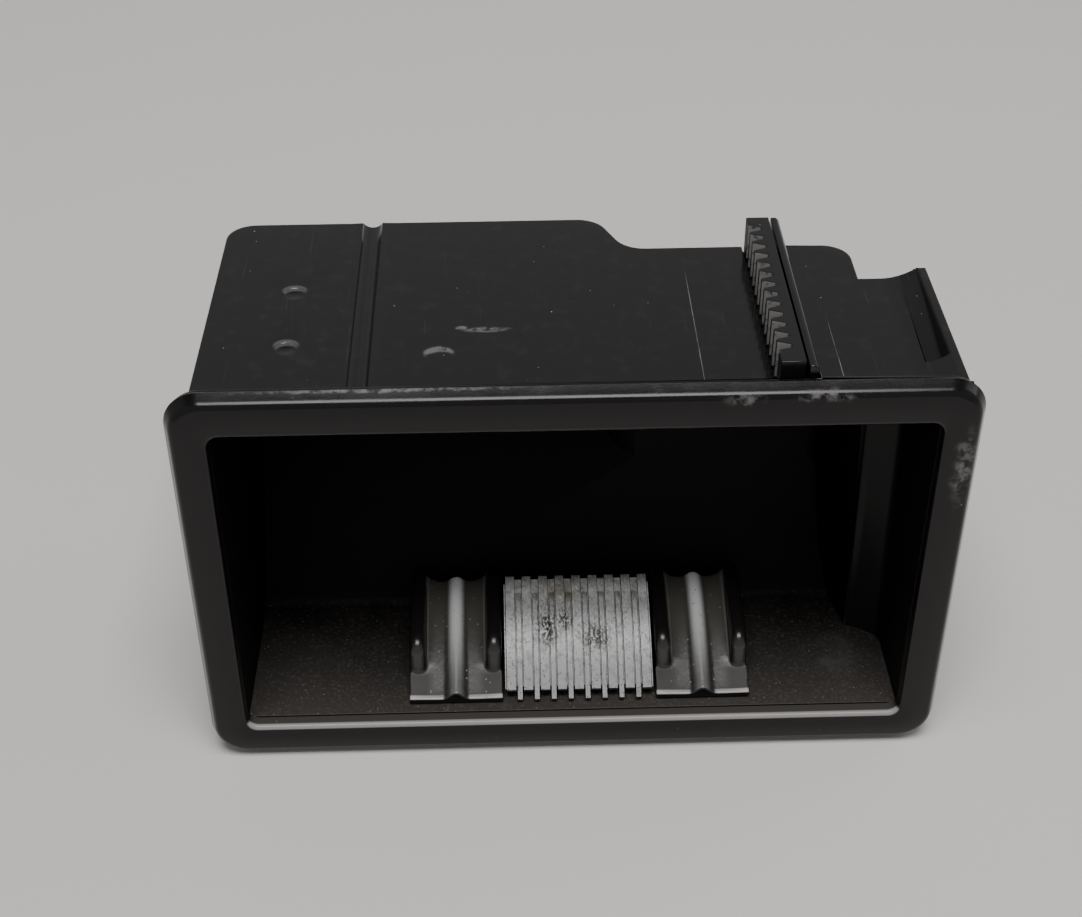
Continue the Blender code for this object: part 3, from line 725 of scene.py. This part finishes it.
# %% Rack
def rack_finish():
    """Black plastic with painted shade on its left and back faces and pale painted highlights on the front
    flanks.
    """
    finish = Finish("rack_black_plastic", (0.0085, 0.0075, 0.0075), 0.20)
    # Painted shade: the faces that look left and back are darker.
    for shaded_side in (finish.facing(ACROSS, -0.45, -0.85), finish.facing(DEEP, 0.45, 0.85)):
        finish.cover(shaded_side, (0.0020, 0.0018, 0.0018), 0.62)
    # Painted highlight: the tooth flanks that face the front are pale.
    flanks = finish.both(
        finish.facing(DEEP, -0.55, -0.90),
        finish.along(DEEP, 8.8, 9.3),
        finish.cloud(900.0, 0.25, 0.50),
    )
    finish.cover(flanks, (0.30, 0.29, 0.28), 0.30, share=0.9)
    finish.cover(finish.cloud(260.0, 0.50, 0.80), roughness=0.34)
    finish.cover(finish.specks(900.0, 0.12, 0.14), (0.30, 0.29, 0.27), 0.8)
    finish.bump(finish.cloud(1800.0, 0.2, 0.8, detail=2.0), 0.004)
    return finish.done()


RACK_EDGE = 0.13 * MM
RACK_SHORTEST = 0.3 * MM
rack_mesh = softened_mesh("damper_rack", RACK_EDGE, RACK_SHORTEST)
rack = make_piece("rack_moulding", rack_mesh, rack_finish(), "damper_rack", SHARP_ANGLE)
keep_faces_flat(rack)

# %% [markdown]
# ## The cigarette rests
#
# Each rest is one moulding: two upright fingers with round noses, and between them a ramp with a round
# bead on which the cigarette lies. In front of the noses the ramp is wide enough to carry both fingers.
# Everything runs into everything with a fillet. Filleting such crossings by hand is hard, so the shapes
# are made separately with more points than they need, put together, and remeshed with small voxels. A
# few smoothing passes then give the fillets for nothing.

# %% Rest shapes
REST_FRONT, REST_REAR = 5.0, 28.8
REST_FRONT_RISE, REST_REAR_RISE = 1.0, 8.7
REST_SWEEP = 1.15
CHANNEL_HALF = 5.9
FRONT_HALF = 8.4
NOSE_FOOT, NOSE_RUN = 10.0, 1.2
BEAD_HALF = 2.35
BEAD_RISE_FRONT, BEAD_RISE_REAR = 1.45, 1.15
SIDE_RISE_FRONT, SIDE_RISE_REAR = 0.10, 2.00
SIDE_CURVE = 2.6

FINGER_PITCH = 13.9 * MM
FINGER_WIDTH = 2.9
FINGER_REAR = 31.0
FINGER_TOP_FRONT, FINGER_TOP_REAR = 9.6, 11.0
NOSE_FRONT, NOSE_RADIUS, NOSE_STRETCH = 10.2, 3.0, 1.25
FINGER_ROUND, FINGER_FULLNESS = 0.75, 0.7
NOSE_ZONE, REAR_ZONE, FOOT_ZONE = 16.0, 29.0, 2.0

PAD_REAR, PAD_HALF = 30.8, 1.5
PAD_RISE, PAD_CLIMB = 1.05, 3.6
VOXEL = 0.22 * MM
FILLET_PASSES = 5


def between(low, high, share):
    """Value at a share of the way from low to high."""
    return low + (high - low) * share


def trough_section(rise, share, half):
    """Section across the ramp in millimetres, (x, z above the floor): bead, hollow, and raised sides."""
    right = []
    steps = 12
    bead_rise = between(BEAD_RISE_FRONT, BEAD_RISE_REAR, share)
    side_rise = between(SIDE_RISE_FRONT, SIDE_RISE_REAR, share)
    for step in range(steps + 1):
        across = step / steps
        right.append((BEAD_HALF * across, rise + bead_rise * (0.5 + 0.5 * math.cos(math.pi * across))))
    for step in range(1, steps + 1):
        across = step / steps
        right.append((between(BEAD_HALF, half, across), rise + side_rise * across ** SIDE_CURVE))
    left = [(-x, z) for x, z in reversed(right[1:])]
    return [(-half, 0.0)] + left + right + [(half, 0.0)]


def make_trough(work, centre):
    """Ramp between the fingers, rising in a quarter wave from its front lip."""
    rows = 30
    rings = []
    for row in range(rows + 1):
        share = row / rows
        foot = at(0.0, between(REST_FRONT, REST_REAR, share), 0.0) + Vector((centre, 0.0, FLOOR_Z))
        sweep = math.sin(share * math.pi / 2) ** REST_SWEEP
        rise = between(REST_FRONT_RISE, REST_REAR_RISE, sweep)
        behind_noses = (between(REST_FRONT, REST_REAR, share) - NOSE_FOOT) / NOSE_RUN
        half = between(FRONT_HALF, CHANNEL_HALF, min(max(behind_noses, 0.0), 1.0))
        rings.append([foot + Vector((x, 0.0, z)) * MM for x, z in trough_section(rise, share, half)])
    join_rings(work, rings)


def finger_side():
    """Outline of a finger from the side, as (depth, height above the floor) in millimetres."""
    rear, top = FINGER_REAR, FINGER_TOP_REAR
    points = [(rear, 0.0), (rear, top - 1.0), (rear - 1.0, top)]
    steps = 12
    for step in range(steps + 1):
        angle = math.pi / 2 * step / steps
        depth = NOSE_FRONT + NOSE_RADIUS * NOSE_STRETCH * (1.0 - math.sin(angle))
        points.append((depth, FINGER_TOP_FRONT - NOSE_RADIUS * (1.0 - math.cos(angle))))
    for forward, height in ((0.45, 4.2), (0.75, 2.4), (0.5, 1.1), (0.0, 0.0)):
        points.append((NOSE_FRONT - forward, height))
    return points


def make_finger(work, centre):
    """Upright finger: slices of the side outline, drawn in towards the two faces to round them."""
    outline = finger_side()
    half = FINGER_WIDTH / 2
    steps = 10
    rings = []
    for step in range(steps + 1):
        angle = math.pi * step / steps
        foot = Vector((centre - half * MM * math.cos(angle), 0.0, FLOOR_Z))
        draw = (1.0 - math.sin(angle) ** FINGER_FULLNESS) * half * FINGER_ROUND
        ring = []
        for depth, height in outline:
            if depth < NOSE_ZONE:
                depth += draw
            elif depth > REAR_ZONE:
                depth -= draw
            if height > FOOT_ZONE:
                height -= draw
            ring.append(foot + at(0.0, depth, height))
        rings.append(ring)
    join_rings(work, rings)


def make_pad(work, centre):
    """Low pad under a finger, rising towards the rear."""
    foot = Vector((centre, 0.0, FLOOR_Z))
    low = foot + at(-PAD_HALF, REST_FRONT, 0.0)
    high = foot + at(PAD_HALF, PAD_REAR, PAD_RISE)
    made = bmesh.ops.create_cube(work, size=1.0)
    size = high - low
    middle = (low + high) / 2
    stretch = Matrix.Translation(middle) @ Matrix.Diagonal((*size, 1.0))
    bmesh.ops.transform(work, matrix=stretch, verts=made["verts"])
    for vert in made["verts"]:
        if vert.co.y > middle.y and vert.co.z > middle.z:
            vert.co.z += PAD_CLIMB * MM


# %% [markdown]
# The remesh step needs a real object with a modifier, whose result is then read back as a plain mesh.
# Remeshing rounds a shape a little inwards, which is safe here: the rests never grow past their place.

# %% Remesh a rest into one moulding
def moulded_together(work, name, passes):
    """Join overlapping closed shapes into one skin and smooth its creases."""
    mesh = mesh_from(work, name)
    helper = bpy.data.objects.new(name, mesh)
    bpy.context.scene.collection.objects.link(helper)
    remesh = helper.modifiers.new("Skin", "REMESH")
    remesh.mode = "VOXEL"
    remesh.voxel_size = VOXEL
    soften = helper.modifiers.new("Creases", "SMOOTH")
    soften.factor = 0.5
    soften.iterations = passes
    bpy.context.view_layer.update()
    graph = bpy.context.evaluated_depsgraph_get()
    result = bpy.data.meshes.new_from_object(helper.evaluated_get(graph))
    bpy.data.objects.remove(helper, do_unlink=True)
    return result


def rest_finish(name, middle):
    """Gloss black plastic whose ramp is grey with ash, with paler tops, painted highlights on the bead, the
    lips, the ramp's edges and the noses, and painted shade at the finger feet.
    """
    finish = Finish(name, (0.0085, 0.0075, 0.0075), 0.17)
    finish.cover(finish.cloud(160.0, 0.45, 0.75), roughness=0.26)
    ramp_place = finish.band(ACROSS, middle, 5.3, 0.3)
    pads = finish.along(DEEP, 10.6, 9.0)
    upward = finish.facing(HIGH, 0.35, 0.75)
    # Painted light: everything that faces up is made a little paler.
    finish.cover(upward, (0.014, 0.012, 0.011), 0.34, share=0.5)
    dusty = finish.both(finish.either(ramp_place, pads), upward)
    ash = finish.both(dusty, finish.cloud(200.0, 0.05, 0.75))
    finish.cover(ash, (0.034, 0.031, 0.027), 0.40, share=0.80)
    far = finish.along(DEEP, 8.0, 24.0)
    finish.cover(finish.both(dusty, far), (0.105, 0.098, 0.084), 0.45, share=0.75)
    fine_ash = finish.both(dusty, finish.cloud(1400.0, 0.46, 0.70, detail=3.0))
    finish.cover(fine_ash, (0.080, 0.075, 0.065), 0.55, share=0.40)
    # Painted reflection: the front faces of the finger noses are paler.
    nose = finish.both(
        finish.apart(ramp_place),
        finish.facing(DEEP, -0.50, -0.90),
        finish.along(DEEP, 7.0, 8.0),
    )
    finish.cover(nose, (0.045, 0.041, 0.039), 0.22, share=0.8)
    # Painted shade: the pads round the finger feet are darkened over the ash.
    foot = finish.both(pads, upward, finish.apart(finish.band(ACROSS, middle, 4.4, 1.2)))
    finish.cover(foot, (0.022, 0.019, 0.018), 0.60, share=0.85)
    # Painted highlight: the bead's crest is pale grey, and near white towards the rear where it mirrors the
    # lamp.
    rear = finish.along(DEEP, 6.0, 24.0)
    bead = finish.both(finish.band(ACROSS, middle, 1.15, 0.60), upward, finish.cloud(900.0, 0.15, 0.42))
    finish.cover(bead, (0.17, 0.17, 0.165), 0.34, share=0.80)
    finish.cover(finish.both(bead, rear), (0.88, 0.88, 0.87), 0.30)
    # Painted highlight: a pale line along the front edge of the pads.
    lip = finish.both(
        finish.along(DEEP, 5.9, 5.6),
        finish.facing(HIGH, 0.25, 0.50),
        finish.facing(HIGH, 0.99, 0.93),
        finish.apart(finish.band(ACROSS, middle, 2.3, 0.3)),
    )
    finish.cover(lip, (0.42, 0.40, 0.38), 0.30, share=0.85)
    # Painted highlight: thin pale lines along the two side edges of the ramp.
    side_edge = finish.both(
        finish.band(ACROSS, middle, 5.65, 0.10),
        finish.apart(finish.band(ACROSS, middle, 5.05, 0.15)),
        upward,
        finish.along(DEEP, 10.0, 13.0),
    )
    finish.cover(side_edge, (0.20, 0.19, 0.175), 0.34, share=0.6)
    grit = finish.both(upward, finish.specks(1400.0, 0.26, 0.13))
    finish.cover(finish.both(grit, dusty), (0.26, 0.24, 0.21), 0.8)
    finish.bump(finish.both(ramp_place, finish.cloud(1300.0, 0.2, 0.8, detail=3.0)), 0.012)
    return finish.done()


for name, (low, high) in REST_BOXES.items():
    centre = (low.x + high.x) / 2
    work = bmesh.new()
    make_trough(work, centre)
    for side in (-1, 1):
        finger_centre = centre + side * FINGER_PITCH / 2
        make_finger(work, finger_centre)
        make_pad(work, finger_centre)
    mesh = moulded_together(work, name + "_skin", FILLET_PASSES)
    plastic = rest_finish(name + "_plastic", centre / MM)
    rest = make_piece(name + "_moulding", mesh, plastic, name, math.pi)
    print(rest.name, "has", len(mesh.polygons), "faces")

# %% [markdown]
# ## The snuffer
#
# A cigarette is stubbed out on a plate of thin steel, lanced into strips so that the ember breaks up
# and the ash falls away: nine wide ribs, and between them narrow strips that lie a little lower and
# reach further down to the floor. Under them runs the web of the sheet that holds them together. One
# function makes a strip by bending a row of sections along the ramp, and a loop makes them all.

# %% Snuffer shape
RIBS = 9
STRIP_ROWS = 20
CUT_EDGE = 0.07 * MM
TAIL_ROWS = 2
SHEET = 0.4 * MM
RIB_WIDTH = 1.76 * MM
STRIP_WIDTH = 0.98 * MM
STRIP_DROP = 0.42 * MM
WEB_THICKNESS = 0.45 * MM
SIDE_DROP = 0.62 * MM
SIDE_GAP = 0.02 * MM
RIB_TAIL, STRIP_TAIL = 0.25 * MM, 0.30 * MM
RIB_REACH = (0.055, 1.0)
STRIP_REACH = (0.0, 0.87)
WEB_REACH = (0.10, 0.985)
SIDE_REACH = (0.08, 0.94)
ARCH = 1.2 * MM
COMB_CENTRE = (COMB_LOW.x + COMB_HIGH.x) / 2
COMB_HALF = (COMB_HIGH.x - COMB_LOW.x) / 2
FLARE = 0.35 * MM
RIB_PITCH = (2 * (COMB_HALF - FLARE) - RIB_WIDTH) / (RIBS - 1)
FOOT_RISE, CREST_DROP = 1.0 * MM, 0.1 * MM
RAMP_FRONT = Vector((COMB_LOW.y, COMB_LOW.z + FOOT_RISE))
RAMP_REAR = Vector((COMB_HIGH.y, COMB_HIGH.z - CREST_DROP))


def ramp_point(share):
    """Place on the top of the ramp as (y, z), from its front foot to its crest."""
    place = RAMP_FRONT.lerp(RAMP_REAR, share)
    place.y += ARCH * math.sin(math.pi * share)
    return place


def make_strip(work, left, right, reach, drop, thickness=SHEET, tail=0.0):
    """Bent strip of sheet along the ramp. Its long edges are slightly rounded. The tail turns down."""
    rings = []
    for row in range(STRIP_ROWS + 1):
        here = ramp_point(between(*reach, row / STRIP_ROWS))
        sink = drop + tail * max(0.0, (row - (STRIP_ROWS - TAIL_ROWS)) / TAIL_ROWS) ** 2
        top = max(here.y - sink, COMB_LOW.z + thickness)
        low, shoulder = top - thickness, top - CUT_EDGE
        section = [
            (left, low), (right, low), (right, shoulder),
            (right - CUT_EDGE, top), (left + CUT_EDGE, top), (left, shoulder),
        ]
        rings.append([Vector((x, here.x, z)) for x, z in section])
    join_rings(work, rings)


work = bmesh.new()
first_rib = COMB_CENTRE - RIB_PITCH * (RIBS - 1) / 2
last_rib = COMB_CENTRE + RIB_PITCH * (RIBS - 1) / 2
for index in range(RIBS):
    x = first_rib + index * RIB_PITCH
    make_strip(work, x - RIB_WIDTH / 2, x + RIB_WIDTH / 2, RIB_REACH, 0.0, tail=RIB_TAIL)
    if index < RIBS - 1:
        x += RIB_PITCH / 2
        make_strip(work, x - STRIP_WIDTH / 2, x + STRIP_WIDTH / 2, STRIP_REACH, STRIP_DROP, tail=STRIP_TAIL)
web_low = STRIP_DROP + SHEET * 0.6
make_strip(work, first_rib - RIB_WIDTH / 3, last_rib + RIB_WIDTH / 3, WEB_REACH, web_low, WEB_THICKNESS)
for side in (-1, 1):
    inner = COMB_CENTRE + side * (COMB_HALF - FLARE - SIDE_GAP)
    outer = COMB_CENTRE + side * (COMB_HALF - SIDE_GAP)
    make_strip(work, min(inner, outer), max(inner, outer), SIDE_REACH, SIDE_DROP)
snuffer_mesh = mesh_from(work, "snuffer")

# %% [markdown]
# The steel is painted pale towards the crest and darker at the foot, a painted highlight. It has a rolled
# grain, hundreds of tiny soot pits, burnt places in the middle, and yellow tar near the rear edge where the
# smoke went. The side faces of the cuts between the strips are painted near black: painted shade, which
# draws the dark lines.

# %% Finish of the snuffer
def snuffer_finish():
    """Stamped steel with grain, soot pits and tar, a painted highlight towards the crest, and painted shade
    on the cuts.
    """
    finish = Finish("snuffer_stamped_steel", (0.135, 0.138, 0.135), 0.44, 1.0)
    # Painted highlight: the steel turns pale towards the rear and near white at the crest.
    rear = finish.along(DEEP, 8.0, 23.0)
    finish.cover(rear, (0.56, 0.565, 0.555), 0.40)
    crest = finish.along(DEEP, 19.0, 23.0)
    finish.cover(crest, (0.85, 0.855, 0.84), 0.62)
    grain = finish.cloud(3200.0, 0.30, 0.72, (1.0, 0.25, 1.0), 3.0)
    finish.cover(grain, (0.13, 0.13, 0.128), 0.52, share=0.40)
    mottle = finish.cloud(700.0, 0.48, 0.70)
    finish.cover(mottle, (0.10, 0.098, 0.094), 0.56, share=0.40)
    tar = finish.both(
        finish.spot(at(-1.5, 22.5, 17.5), (6.0, 4.5, 6.0), 3.0, 0.1), finish.cloud(500.0, 0.34, 0.56)
    )
    finish.cover(tar, (0.30, 0.245, 0.13), 0.50, share=0.60)
    burnt = finish.both(
        finish.either(
            finish.spot(at(-4.2, 16.5, 15.0), (3.4, 6.5, 6.0), 3.0, 0.0),
            finish.spot(at(-1.0, 17.5, 15.0), (2.6, 3.0, 5.0), 3.0, 0.0),
            finish.math("MULTIPLY", finish.spot(at(4.5, 14.5, 14.0), (4.5, 4.5, 5.0), 3.5, 0.0), 0.7),
        ),
        finish.cloud(2400.0, 0.42, 0.56, (1.0, 0.6, 1.0), 4.0),
    )
    finish.cover(burnt, (0.026, 0.023, 0.021), 0.75, share=0.90)
    pits = finish.specks(2300.0, 0.28, 0.30)
    finish.cover(pits, (0.06, 0.056, 0.052), 0.7, share=0.55)
    # Painted shade: the side faces of the cuts between the strips are near black.
    cuts = finish.either(finish.facing(ACROSS, 0.30, 0.60), finish.facing(ACROSS, -0.30, -0.60))
    finish.cover(cuts, (0.016, 0.014, 0.013), 0.7)
    finish.bump(grain, 0.010)
    finish.bump(pits, -0.02)
    return finish.done()


SNUFFER_SHARP = math.radians(30.0)
snuffer = make_piece(
    "snuffer_plate", snuffer_mesh, snuffer_finish(), "snuffer_comb", SNUFFER_SHARP
)
print("snuffer has", len(snuffer.data.polygons), "faces")
